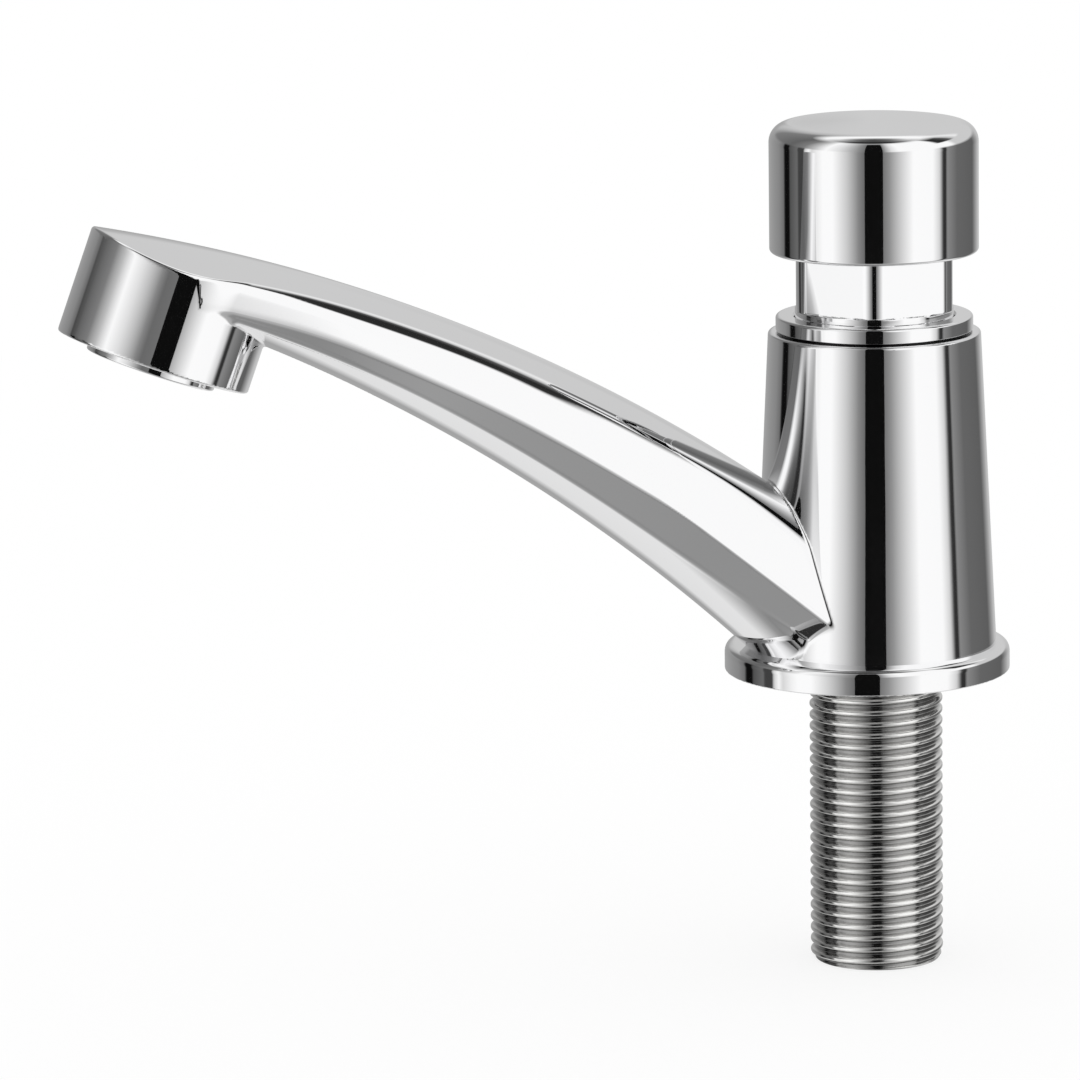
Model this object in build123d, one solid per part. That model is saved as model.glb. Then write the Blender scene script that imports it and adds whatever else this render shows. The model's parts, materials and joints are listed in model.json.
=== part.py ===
from build123d import *
import math
import os

# A push timed tap for a basin. Millimetres, Z up. The origin is on the axis of the threaded shank, in the
# plane of the basin's deck, and the spout runs out along -Y. Turned pieces are outlines of (radius, level).

# Gaps between pieces, on the radius or between faces
rod_gap = 0.1  # the stem in its bushes and seals
thread_gap = 0.08  # screwed pieces, and seals in their grooves
seat_gap = 0.2  # the cartridge in the body's bore
overrun = 1.0  # how far a cut runs past the face it leaves

# Shank: G 1/2 parallel thread
thread_radius = 10.4775
thread_pitch = 1.814
thread_depth = 1.162
thread_crest_share = 0.22  # of the pitch
thread_root_share = 0.11  # of the pitch
thread_runout = 0.4  # plain length under the flange
shank_length = 47.0  # below the deck
spigot_radius = 10.0  # above the deck, screwed into the body
shank_bore_radius = 7.0
shank_end_radius = 9.88
shank_end_chamfer = 1.5

# Strainer in the shank's end
strainer_thickness = 0.9
strainer_rim_radius = 8.1
strainer_recess = 0.3
strainer_hole_radius = 0.6
strainer_hole_pitch = 2.0
strainer_rows = 2

# Base flange and the gasket in its underside
flange_radius = 22.4
flange_offset = 1.45  # of its centre, towards the spout
flange_height = 4.0
flange_edge_radius = 1.5
gasket_inner_radius = 13.8
gasket_outer_radius = 18.4
gasket_thickness = 1.6

# Body: a cone with a stepped bore
foot_radius = 18.95
shoulder_radius = 16.6
body_top = 53.5
body_edge_radius = 0.5
body_wall = 2.4  # beside the ring's thread
bore_step = 1.2  # from the ring's bore down to the cartridge's
ledge_top = 14.0
ledge_thickness = 2.0
ledge_hole_radius = 8.0
inlet_washer_thickness = 1.0
gallery_depth = 1.4
gallery_land = 3.2  # plain bore for a seal, above and below the gallery

# Spout: two arcs in the middle plane, a crowned top and three facets on each side
spout_reach = 116.0
outlet_height = 56.0
outlet_tilt = 20.5  # degrees
head_radius = 15.1
head_height = 19.1
head_edge_radius = 0.4
spout_root_reach = 18.0
spout_root_height = 30.8
spout_top_radius = 285.0
spout_crown_radius = 34.0  # over the head
spout_toe_reach = 20.7
spout_tip_depth = 10.3
spout_underside_radius = 294.0
spout_root_half_width = 16.4
spout_end_half_width = 15.0
spout_end_share = 0.965  # of the reach, where the arm has run into the head
arm_stations = 7  # equal steps along the arm, with two more over the head
crown_radius_shares = (0.30, 0.37, 0.45, 0.59, 0.82, 0.98, 1.12, 1.07, 1.0, 1.0)
crown_width_shares = (0.61, 0.66, 0.70, 0.765, 0.83, 0.90, 1.0, 1.04, 1.04, 1.04)
edge_lean_shares = (0.30, 0.36, 0.47, 0.64, 0.78, 0.80, 0.77, 0.38)  # of the edge facet's rise
upper_width_shares = (0.598, 0.648, 0.722, 0.816, 0.895, 0.938, 0.967, 0.990)  # of the half width
lower_width_shares = (0.640, 0.682, 0.724, 0.767, 0.811, 0.856, 0.903, 0.950)
upper_crease_shares = (0.825, 0.803, 0.776, 0.751, 0.743, 0.710, 0.692, 0.675)  # of the arm's height
wide_crease_shares = (0.637, 0.558, 0.480, 0.445, 0.440, 0.425, 0.425, 0.300)
lower_crease_shares = (0.370, 0.272, 0.200, 0.185, 0.200, 0.220, 0.228, 0.214)
waterway_radius = 3.5

# Outlet socket and the aerator in it, with depths from the outlet's face
socket_radius = 11.0
socket_depth = 8.6
socket_chamfer = 0.5
outlet_chamber_radius = 7.5
outlet_chamber_depth = 13.5
aerator_face_radius = 10.1
aerator_stand_out = 1.3
aerator_wall = 1.9
aerator_lip = 0.8
aerator_height = 7.0
aerator_thread_start = 0.4
mesh_thickness = 0.5
mesh_hole_radius = 0.55
mesh_hole_pitch = 1.6
mesh_rows = 4
insert_height = 5.5
insert_hole_radius = 0.75
insert_hole_pitch = 2.3
insert_rows = 3
diffuser_hole_radius = 0.6
diffuser_hole_count = 12
diffuser_ring_radius = 6.0

# Ring that holds the cartridge down
ring_depth = 19.5  # of its end below the body's top
bonnet_wall = 1.65
bonnet_margin = 1.2  # the body's rim beyond the ring
bonnet_rise = 2.6
bonnet_undercut_height = 0.3
bonnet_undercut_depth = 0.5
bonnet_mouth_chamfer = 0.3
bonnet_seal_radius = 0.45
bonnet_seal_drop = 7.0

# Neck: a fixed bush round the cartridge, round in the ring and a hexagon under the cap
neck_wall = 1.47
neck_depth = 10.0  # of the bush's end below the body's top
neck_shoulder = 1.1  # round height between the ring and the hexagon
neck_flat_step = 0.25  # of the flats inside the shoulder
neck_corner_radius = 3.55
neck_turn = -20.0  # degrees from +X to a corner
neck_cover = 1.5  # of the bush's top above the cap's foot

# Button: the cap, and the nut that locks it on the stem
travel = 8.0
stop_gap = 1.93  # left between the cap and the ring at full travel
cap_radius = 16.3
cap_height = 20.2
cap_wall = 2.1
cap_top_wall = 3.6
cap_edge_radius = 3.0
cap_foot_radius = 0.6
cap_crown = 0.4
cap_boss_radius = 5.5
cap_boss_recess = 3.4  # of the boss's end above the cap's foot
lock_nut_radius = 4.6
lock_nut_height = 2.6

# Cartridge
cartridge_flange_height = 3.0
cylinder_gap = 0.7
cylinder_wall = 1.7
seat_height = 3.0
seat_radius = 7.5
seat_bore_radius = 4.6
seat_lip = 0.5
chamber_height = 10.5
port_radius = 2.4
port_count = 6
gland_height = 4.0
spring_seat_thickness = 0.8
cover_flange_height = 1.0
cover_skirt_height = 1.3
timing_screw_radius = 1.2
timing_screw_reach = 6.2
timing_head_radius = 1.9
timing_head_height = 1.1
timing_slot_width = 0.5
cartridge_seal_radius = 0.65
stem_seal_radius = 0.6

# Stem, piston, spring and valve
stem_radius = 2.5
collar_radius = 3.4
collar_height = 1.5
piston_height = 3.5
piston_gap = 0.35
lip_seal_height = 1.7
lip_seal_depth = 1.9
lip_seal_lip = 0.6
clip_thickness = 0.8
clip_radius = 4.2
clip_depth = 0.4
clip_mouth_angle = 60.0
cover_gap = 0.4  # over the clip, with the button up
spring_wire_radius = 0.6
spring_turns = 3.5
spring_mean_radius = 6.0
valve_radius = 6.0
valve_washer_thickness = 2.2
holder_thickness = 1.5
holder_cup = 0.7
valve_nut_radius = 3.6
valve_nut_height = 2.0
stem_end_length = 0.5
stem_thread_length = 10.5  # in the cap's boss

# Radii worked out from the outside in
body_bore_radius = shoulder_radius - body_wall
cartridge_bore_radius = body_bore_radius - bore_step
bonnet_skirt_radius = body_bore_radius - thread_gap
bonnet_bore_radius = bonnet_skirt_radius - bonnet_wall
bonnet_radius = shoulder_radius - bonnet_margin
neck_radius = bonnet_bore_radius - thread_gap
neck_flat_radius = neck_radius - neck_flat_step
neck_bore_radius = neck_radius - neck_wall
cylinder_radius = neck_bore_radius - cylinder_gap
cylinder_bore_radius = cylinder_radius - cylinder_wall
cartridge_radius = cartridge_bore_radius - seat_gap
piston_radius = cylinder_bore_radius - piston_gap
chamber_radius = seat_radius - seat_lip
cap_bore_radius = cap_radius - cap_wall
aerator_radius = socket_radius - thread_gap
aerator_bore_radius = aerator_radius - aerator_wall

# Levels worked out up from the ledge and down from the body's top
shank_top = ledge_top - ledge_thickness - inlet_washer_thickness
seat_top = ledge_top + seat_height
chamber_top = seat_top + chamber_height
gland_top = chamber_top + gland_height
spring_foot = gland_top + spring_seat_thickness
cover_top = body_top
cylinder_top = cover_top - cover_flange_height
cover_foot = cylinder_top - cover_skirt_height
piston_top = cover_foot - cover_gap - clip_thickness
piston_foot = piston_top - piston_height
neck_foot = body_top - neck_depth
cartridge_shoulder = body_top - ring_depth
bore_step_level = cartridge_shoulder - cartridge_flange_height
bonnet_top = body_top + bonnet_rise
neck_hexagon_foot = bonnet_top + neck_shoulder
cap_foot = bonnet_top + travel + stop_gap
neck_top = cap_foot + neck_cover
cap_top = cap_foot + cap_height
boss_foot = cap_foot + cap_boss_recess
stem_top = boss_foot + stem_thread_length
valve_foot = ledge_top - valve_washer_thickness
holder_foot = valve_foot - holder_thickness
valve_nut_foot = holder_foot - valve_nut_height
gallery_foot = ledge_top + gallery_land
gallery_top = bore_step_level - gallery_land
gallery_middle = (gallery_foot + gallery_top) / 2

outlet_plane = Plane(
    origin=(0, -spout_reach, outlet_height),
    x_dir=(1, 0, 0),
    z_dir=(0, math.sin(math.radians(outlet_tilt)), math.cos(math.radians(outlet_tilt))),
)


def turned(*outline):
    """The solid that an outline of (radius, level) points makes about Z."""
    return revolve(Plane.XZ * make_face(Polyline(*outline, close=True)), Axis.Z)


def tube(inner, outer, low, high):
    """A plain ring between two radii and two levels."""
    return turned((inner, low), (outer, low), (outer, high), (inner, high))


def disc(radius, low, high):
    """A plain disc between two levels."""
    return Pos(0, 0, low) * extrude(Circle(radius), high - low)


def torus_seal(inner, wire, level):
    """An O-ring of section radius wire about Z, with its inner radius and its middle level."""
    return revolve(Plane.XZ * Pos(inner + wire, level) * Circle(wire), Axis.Z)


def rim(solid, radius, level):
    """The round edges of a turned solid at one radius and level."""
    near = radius / 1000
    return [
        edge
        for edge in solid.edges().filter_by(GeomType.CIRCLE)
        if abs(edge.radius - radius) < near and abs(edge.arc_center.Z - level) < near
    ]


def hex_grid(pitch, rows):
    """Centres of a hexagon of holes with a number of rows about the middle one."""
    centres = []
    for row in range(-rows, rows + 1):
        count = 2 * rows + 1 - abs(row)
        for place in range(count):
            centres.append(((place - (count - 1) / 2) * pitch, row * pitch * math.sqrt(3) / 2))
    return centres


def drilled(plate, centres, radius, low, high):
    """A plate with holes of one radius at the centres given."""
    holes = Sketch() + [Pos(x, y) * Circle(radius) for x, y in centres]
    return plate - Pos(0, 0, low - overrun) * extrude(holes, high - low + 2 * overrun)


def arc_centre(near, far, radius):
    """Centre, under the chord, of the arc of a radius through two (reach, level) points."""
    run, rise = far[0] - near[0], far[1] - near[1]
    chord = math.hypot(run, rise)
    depth = math.sqrt(radius**2 - (chord / 2) ** 2)
    return (
        (near[0] + far[0]) / 2 + depth * rise / chord,
        (near[1] + far[1]) / 2 - depth * run / chord,
    )


def arc_level(centre, radius, reach):
    """Level of an arc at a reach."""
    return centre[1] + math.sqrt(radius**2 - (reach - centre[0]) ** 2)


top_centre = arc_centre(
    (spout_root_reach, spout_root_height),
    (spout_reach, outlet_height + head_height),
    spout_top_radius,
)
underside_centre = arc_centre(
    (spout_toe_reach, flange_height),
    (spout_reach, outlet_height + head_height - spout_tip_depth),
    spout_underside_radius,
)


def thread_outline(low, high):
    """Ring grooves of the thread's form between two levels, as (radius, level) points going up."""
    crest = thread_pitch * thread_crest_share
    flank = thread_pitch * (1 - thread_crest_share - thread_root_share) / 2
    root_radius = thread_radius - thread_depth
    points = []
    level = low
    while level + crest + thread_pitch < high:
        points.append((thread_radius, level))
        points.append((thread_radius, level + crest))
        points.append((root_radius, level + crest + flank))
        points.append((root_radius, level + thread_pitch - flank))
        level += thread_pitch
    return points + [(thread_radius, level), (thread_radius, high), (spigot_radius, high)]


def inlet_shank():
    """Threaded tube from the body down through the deck, with a seat for the strainer in its end."""
    recess = strainer_recess + strainer_thickness
    return turned(
        (shank_bore_radius, -shank_length + recess),
        (strainer_rim_radius + thread_gap, -shank_length + recess),
        (strainer_rim_radius + thread_gap, -shank_length),
        (shank_end_radius, -shank_length),
        *thread_outline(-shank_length + shank_end_chamfer, -thread_runout),
        (spigot_radius, shank_top),
        (shank_bore_radius, shank_top),
    )


def inlet_strainer():
    """Perforated disc that keeps grit out of the valve."""
    low = -shank_length + strainer_recess
    high = low + strainer_thickness
    centres = hex_grid(strainer_hole_pitch, strainer_rows)
    return drilled(disc(strainer_rim_radius, low, high), centres, strainer_hole_radius, low, high)


def base_flange():
    """Rosette between the body and the deck, set off towards the spout to cover its root."""
    plate = disc(flange_radius, 0, flange_height)
    plate = Pos(0, -flange_offset, 0) * fillet(rim(plate, flange_radius, flange_height), flange_edge_radius)
    hole = disc(spigot_radius + seat_gap, -overrun, flange_height + overrun)
    groove = tube(
        gasket_inner_radius - thread_gap,
        gasket_outer_radius + thread_gap,
        -overrun,
        gasket_thickness,
    )
    return plate - hole - groove


def base_gasket():
    """Flat rubber ring let into the flange's underside, flush with it."""
    return tube(gasket_inner_radius, gasket_outer_radius, 0, gasket_thickness)


def inlet_washer():
    """Sealing washer between the shank's top and the body's ledge."""
    return tube(ledge_hole_radius, spigot_radius - thread_gap, shank_top, ledge_top - ledge_thickness)


def spout_station(share):
    """Reach, top and bottom in the middle plane, and half width, at a share of the arm's length."""
    reach = share * spout_end_share * spout_reach
    top = arc_level(top_centre, spout_top_radius, reach)
    bottom = arc_level(underside_centre, spout_underside_radius, reach)
    wide = spout_root_half_width + min(share, 1) * (spout_end_half_width - spout_root_half_width)
    return reach, top, bottom, wide


def across(reach, outline):
    """Face of an outline of (sideways, level) edges that stands across the arm at a reach."""
    return Plane(origin=(0, -reach, 0), x_dir=(1, 0, 0), z_dir=(0, -1, 0)) * make_face(outline)


def spout_section(place):
    """Outline across the arm at a station. Its edge facets run on above the crowned top."""
    reach, top, bottom, wide = spout_station(place / arm_stations)
    upper_level = bottom + upper_crease_shares[place] * (top - bottom)
    wide_level = bottom + wide_crease_shares[place] * (top - bottom)
    lower_level = bottom + lower_crease_shares[place] * (top - bottom)
    upper = upper_width_shares[place] * wide
    lower = lower_width_shares[place] * wide
    rise = top - upper_level + overrun
    over = upper - edge_lean_shares[place] * rise
    sides = Polyline(
        (lower, lower_level),
        (wide, wide_level),
        (upper, upper_level),
        (over, upper_level + rise),
        (-over, upper_level + rise),
        (-upper, upper_level),
        (-wide, wide_level),
        (-lower, lower_level),
    )
    keel = ThreePointArc((-lower, lower_level), (0, bottom), (lower, lower_level))
    return across(reach, sides + keel)


def crown_section(place):
    """Room under the crowned top at a station, wider than the arm and the head."""
    reach, top, bottom, wide = spout_station(place / arm_stations)
    radius = crown_radius_shares[place] * spout_crown_radius
    half = crown_width_shares[place] * wide
    edge = top - radius + math.sqrt(radius**2 - half**2)
    side = 2 * head_radius
    floor = bottom - side
    room = Polyline((half, edge), (side, top), (side, floor), (-side, floor), (-side, top), (-half, edge))
    return across(reach, room + ThreePointArc((-half, edge), (0, top), (half, edge)))


def body_cone():
    """Outside of the body, from the flange to the ring."""
    cone = turned(
        (0, flange_height), (foot_radius, flange_height), (shoulder_radius, body_top), (0, body_top)
    )
    return fillet(rim(cone, shoulder_radius, body_top), body_edge_radius)


def body_bore():
    """The stepped bore that takes the shank from below and the cartridge and the ring from above."""
    socket = spigot_radius + thread_gap
    return turned(
        (0, flange_height - overrun),
        (socket, flange_height - overrun),
        (socket, ledge_top - ledge_thickness),
        (ledge_hole_radius, ledge_top - ledge_thickness),
        (ledge_hole_radius, ledge_top),
        (cartridge_bore_radius, ledge_top),
        (cartridge_bore_radius, gallery_foot),
        (cartridge_bore_radius + gallery_depth, gallery_foot),
        (cartridge_bore_radius + gallery_depth, gallery_top),
        (cartridge_bore_radius, gallery_top),
        (cartridge_bore_radius, bore_step_level),
        (body_bore_radius, bore_step_level),
        (body_bore_radius, body_top + overrun),
        (0, body_top + overrun),
    )


def outlet_socket():
    """Threaded socket for the aerator, with the chamber that the waterway ends in."""
    return outlet_plane * turned(
        (0, -overrun),
        (socket_radius + socket_chamfer + overrun, -overrun),
        (socket_radius, socket_chamfer),
        (socket_radius, socket_depth),
        (outlet_chamber_radius, socket_depth),
        (outlet_chamber_radius, outlet_chamber_depth),
        (0, outlet_chamber_depth),
    )


def waterway():
    """Round channel from the gallery, along the middle of the arm, to the outlet chamber."""
    end_depth = outlet_chamber_depth - waterway_radius
    end = outlet_plane.from_local_coords((0, 0, end_depth))
    half = spout_reach / 2
    middle = (
        arc_level(top_centre, spout_top_radius, half)
        + arc_level(underside_centre, spout_underside_radius, half)
    ) / 2
    start = Vector(0, -cartridge_bore_radius + gallery_depth, gallery_middle)
    path = ThreePointArc(start, (0, -half, middle), end)
    return sweep(Plane(origin=start, z_dir=path % 0) * Circle(waterway_radius), path=path)


def tap_body():
    """Cast body with its spout and outlet head."""
    crown = loft([crown_section(place) for place in range(len(crown_radius_shares))])
    arm = loft([spout_section(place) for place in range(arm_stations + 1)])
    head = outlet_plane * disc(head_radius, 0, 2 * head_height)
    round_edges = head.edges().filter_by(GeomType.CIRCLE).sort_by(Axis.Z)
    head = fillet(round_edges[0], head_edge_radius)
    rising = outlet_height + 2 * head_height
    room = Pos(0, -spout_reach / 2, flange_height) * Box(
        4 * head_radius, 2 * spout_reach, rising, align=(Align.CENTER, Align.CENTER, Align.MIN)
    )
    spout = ((arm & room) + head) & crown
    return body_cone() + spout - body_bore() - outlet_socket() - waterway()


def cartridge_housing():
    """Cartridge's shell: seat recess, valve chamber with side ports, and the timing cylinder above."""
    groove_floor = cartridge_bore_radius - thread_gap - 2 * cartridge_seal_radius
    half_groove = cartridge_seal_radius + thread_gap
    flange = body_bore_radius - seat_gap
    outline = [
        (seat_radius + thread_gap, ledge_top),
        (cartridge_radius, ledge_top),
    ]
    for level in cartridge_seal_levels():
        outline += [
            (cartridge_radius, level - half_groove),
            (groove_floor - thread_gap, level - half_groove),
            (groove_floor - thread_gap, level + half_groove),
            (cartridge_radius, level + half_groove),
        ]
    outline += [
        (cartridge_radius, bore_step_level),
        (flange, bore_step_level),
        (flange, cartridge_shoulder),
        (cylinder_radius, cartridge_shoulder),
        (cylinder_radius, cylinder_top),
        (cylinder_bore_radius, cylinder_top),
        (cylinder_bore_radius, chamber_top),
        (chamber_radius, chamber_top),
        (chamber_radius, seat_top),
        (seat_radius + thread_gap, seat_top),
    ]
    port = Pos(0, 0, gallery_middle) * Rot(0, 90, 0) * extrude(Circle(port_radius), cartridge_bore_radius)
    ports = [Rot(0, 0, turn * 360 / port_count) * port for turn in range(port_count)]
    return turned(*outline) - ports


def cartridge_seal_levels():
    """Middle levels of the seals under and over the gallery."""
    return (ledge_top + gallery_land / 2, bore_step_level - gallery_land / 2)


def cartridge_seal(place):
    """O-ring between the cartridge and the body's bore."""
    inner = cartridge_bore_radius - thread_gap - 2 * cartridge_seal_radius
    return torus_seal(inner, cartridge_seal_radius, cartridge_seal_levels()[place])


def valve_seat():
    """Ring that the valve washer closes on, screwed up into the cartridge."""
    return tube(seat_bore_radius, seat_radius, ledge_top, seat_top)


def gland_bush():
    """Bush that guides the stem and parts the valve chamber from the timing cylinder."""
    outer = cylinder_bore_radius - rod_gap
    pocket = stem_radius + rod_gap + 2 * stem_seal_radius + thread_gap
    pocket_foot = gland_top - 2 * stem_seal_radius - thread_gap
    return turned(
        (stem_radius + rod_gap, chamber_top),
        (outer, chamber_top),
        (outer, gland_top),
        (pocket, gland_top),
        (pocket, pocket_foot),
        (stem_radius + rod_gap, pocket_foot),
    )


def stem_seal():
    """O-ring round the stem in the top of the gland bush."""
    return torus_seal(stem_radius + rod_gap, stem_seal_radius, gland_top - stem_seal_radius - thread_gap)


def spring_seat():
    """Washer over the stem seal that the spring stands on."""
    return tube(stem_radius + rod_gap, cylinder_bore_radius - piston_gap, gland_top, spring_foot)


def cylinder_cover():
    """Screwed cover of the timing cylinder, with an inner groove for its stem seal."""
    outer = cylinder_bore_radius - thread_gap
    bore = stem_radius + rod_gap
    pocket = bore + 2 * stem_seal_radius + thread_gap
    middle = (cover_foot + cover_top) / 2
    half_groove = stem_seal_radius + thread_gap
    cover = turned(
        (bore, cover_foot),
        (outer, cover_foot),
        (outer, cylinder_top),
        (cylinder_radius, cylinder_top),
        (cylinder_radius, cover_top),
        (bore, cover_top),
        (bore, middle + half_groove),
        (pocket, middle + half_groove),
        (pocket, middle - half_groove),
        (bore, middle - half_groove),
    )
    hole = disc(timing_screw_radius + thread_gap, cover_foot - overrun, cover_top + overrun)
    return cover - Pos(timing_screw_reach, 0, 0) * hole


def cover_seal():
    """O-ring round the stem in the cover."""
    return torus_seal(stem_radius + rod_gap, stem_seal_radius, (cover_foot + cover_top) / 2)


def timing_screw():
    """Metering screw in the cover: it sets how fast the cylinder refills, and so how long the tap runs."""
    head_top = cover_top + timing_head_height
    screw = disc(timing_screw_radius, cover_foot, cover_top) + disc(timing_head_radius, cover_top, head_top)
    slot = Box(2 * timing_head_radius + overrun, timing_slot_width, timing_head_height)
    return Pos(timing_screw_reach, 0, 0) * (screw - Pos(0, 0, head_top) * slot)


def bonnet_ring():
    """Screwed ring that holds the cartridge down and takes the neck's bush."""
    undercut = bonnet_radius - bonnet_undercut_depth
    lip_foot = body_top + bonnet_undercut_height
    seal_level = body_top - bonnet_seal_drop
    seal_half = bonnet_seal_radius + thread_gap
    seal_floor = bonnet_skirt_radius - 2 * seal_half + thread_gap
    ring = turned(
        (bonnet_bore_radius, cartridge_shoulder),
        (bonnet_skirt_radius, cartridge_shoulder),
        (bonnet_skirt_radius, seal_level - seal_half),
        (seal_floor, seal_level - seal_half),
        (seal_floor, seal_level + seal_half),
        (bonnet_skirt_radius, seal_level + seal_half),
        (bonnet_skirt_radius, body_top),
        (undercut, body_top),
        (undercut, lip_foot),
        (bonnet_radius, lip_foot),
        (bonnet_radius, bonnet_top),
        (bonnet_bore_radius + bonnet_mouth_chamfer, bonnet_top),
        (bonnet_bore_radius, bonnet_top - bonnet_mouth_chamfer),
    )
    return fillet(rim(ring, bonnet_radius, bonnet_top), body_edge_radius)


def bonnet_seal():
    """O-ring between the ring's skirt and the body."""
    inner = bonnet_skirt_radius - 2 * bonnet_seal_radius
    return torus_seal(inner, bonnet_seal_radius, body_top - bonnet_seal_drop)


def neck_bush():
    """Fixed bush between the ring and the cartridge. The cap slides down over its hexagon."""
    hexagon = RegularPolygon(neck_flat_radius, 6, major_radius=False, rotation=neck_turn)
    hexagon = fillet(hexagon.vertices(), neck_corner_radius)
    head = Pos(0, 0, neck_hexagon_foot) * extrude(hexagon, neck_top - neck_hexagon_foot)
    bush = disc(neck_radius, neck_foot, neck_hexagon_foot) + head
    return bush - disc(neck_bore_radius, neck_foot - overrun, neck_top + overrun)


def push_cap():
    """Hollow button cap with a boss for the stem and a slightly crowned top."""
    ceiling = cap_top - cap_top_wall
    shell = turned(
        (stem_radius + thread_gap, boss_foot),
        (cap_boss_radius, boss_foot),
        (cap_boss_radius, ceiling),
        (cap_bore_radius, ceiling),
        (cap_bore_radius, cap_foot),
        (cap_radius, cap_foot),
        (cap_radius, cap_top),
        (stem_radius + thread_gap, cap_top),
    )
    shell = fillet(rim(shell, cap_radius, cap_foot), cap_foot_radius)
    plug = disc(cap_boss_radius, stem_top, cap_top)
    body = fillet(rim(shell + plug, cap_radius, cap_top), cap_edge_radius)
    flat_radius = cap_radius - cap_edge_radius
    dome = revolve(
        Plane.XZ
        * make_face(
            ThreePointArc(
                (-flat_radius, cap_top), (0, cap_top + cap_crown), (flat_radius, cap_top)
            )
            + Line((flat_radius, cap_top), (-flat_radius, cap_top))
        ).split(Plane.YZ),
        Axis.Z,
    )
    return body + dome


def hex_nut(radius, low, high):
    """Hexagon nut on the stem between two levels."""
    blank = Pos(0, 0, low) * extrude(RegularPolygon(radius, 6), high - low)
    return blank - disc(stem_radius + thread_gap, low - overrun, high + overrun)


def plunger_stem():
    """Rod from the button to the valve, with a collar under the piston and a groove for its clip."""
    groove = stem_radius - clip_depth
    return turned(
        (0, valve_nut_foot - stem_end_length),
        (stem_radius, valve_nut_foot - stem_end_length),
        (stem_radius, piston_foot - collar_height),
        (collar_radius, piston_foot - collar_height),
        (collar_radius, piston_foot),
        (stem_radius, piston_foot),
        (stem_radius, piston_top),
        (groove, piston_top),
        (groove, piston_top + clip_thickness),
        (stem_radius, piston_top + clip_thickness),
        (stem_radius, stem_top),
        (0, stem_top),
    )


def piston():
    """Timing piston with an open groove for its lip seal."""
    low = (piston_foot + piston_top - lip_seal_height) / 2
    high = low + lip_seal_height
    floor = piston_radius - lip_seal_depth
    return turned(
        (stem_radius + thread_gap, piston_foot),
        (piston_radius, piston_foot),
        (piston_radius, low),
        (floor, low),
        (floor, high),
        (piston_radius, high),
        (piston_radius, piston_top),
        (stem_radius + thread_gap, piston_top),
    )


def piston_seal():
    """U-shaped lip seal, open upwards: water passes it as the button goes down and not as it rises."""
    low = (piston_foot + piston_top - lip_seal_height) / 2 + thread_gap
    high = low + lip_seal_height - 2 * thread_gap
    inner = piston_radius - lip_seal_depth + thread_gap
    outer = cylinder_bore_radius - rod_gap
    return turned(
        (inner, low),
        (outer - piston_gap, low),
        (outer, high),
        (outer - lip_seal_lip, high),
        ((inner + outer) / 2, low + lip_seal_lip),
        (inner + lip_seal_lip, high),
        (inner, high),
    )


def piston_clip():
    """Open snap ring over the piston, in the stem's groove."""
    ring = tube(stem_radius - clip_depth + thread_gap, clip_radius, piston_top, piston_top + clip_thickness)
    half_mouth = math.radians(clip_mouth_angle / 2)
    far = 2 * clip_radius
    mouth = Polyline(
        (0, 0),
        (far * math.cos(half_mouth), far * math.sin(half_mouth)),
        (far * math.cos(half_mouth), -far * math.sin(half_mouth)),
        close=True,
    )
    wedge = extrude(make_face(mouth), clip_thickness + 2 * overrun)
    return ring - Pos(0, 0, piston_top - overrun) * wedge


def spring_point(turn):
    """Centre of the spring's wire, and its direction there, after a number of turns."""
    low = spring_foot + spring_wire_radius
    high = piston_foot - spring_wire_radius
    climb = (high - low) / spring_turns
    angle = 2 * math.pi * turn
    point = Vector(
        spring_mean_radius * math.cos(angle), spring_mean_radius * math.sin(angle), low + climb * turn
    )
    along = Vector(-math.sin(angle), math.cos(angle), climb / (2 * math.pi * spring_mean_radius))
    return point, along.normalized()


def biarc(start, start_along, end, end_along):
    """Two tangent arcs between two points with a direction at each."""
    span = end - start
    total = start_along + end_along
    spread = 2 * (1 - start_along.dot(end_along))
    along = span.dot(total)
    reach = (-along + math.sqrt(along**2 + spread * span.dot(span))) / spread
    middle = (start + start_along * reach + end - end_along * reach) / 2
    first = TangentArc(start, middle, tangent=start_along)
    second = TangentArc(middle, end, tangent=first % 1)
    return [first, second]


def return_spring():
    """Coil spring under the piston, one tube along quarter-turn biarcs of its helix."""
    quarters = round(4 * spring_turns)
    edges = []
    for quarter in range(quarters):
        edges += biarc(*spring_point(quarter / 4), *spring_point((quarter + 1) / 4))
    start, along = spring_point(0)
    section = Plane(origin=start, z_dir=along) * Circle(spring_wire_radius)
    return sweep(section, path=Wire(edges))


def spring_least_gap():
    """Least gap between two turns of the spring, from points along its wire."""
    steps = 48
    points = [spring_point(step / steps)[0] for step in range(round(spring_turns * steps) + 1)]
    nearest = min(
        (points[far] - points[near]).length
        for near in range(len(points))
        for far in range(near + steps // 2, len(points))
    )
    return nearest - 2 * spring_wire_radius


def valve_washer():
    """Rubber washer that closes on the seat from below."""
    return tube(stem_radius + thread_gap, valve_radius, valve_foot, ledge_top)


def washer_holder():
    """Cup that carries the valve washer."""
    return turned(
        (stem_radius + thread_gap, holder_foot),
        (valve_radius + holder_cup, holder_foot),
        (valve_radius + holder_cup, valve_foot + holder_cup),
        (valve_radius + thread_gap, valve_foot + holder_cup),
        (valve_radius + thread_gap, valve_foot),
        (stem_radius + thread_gap, valve_foot),
    )


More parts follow.
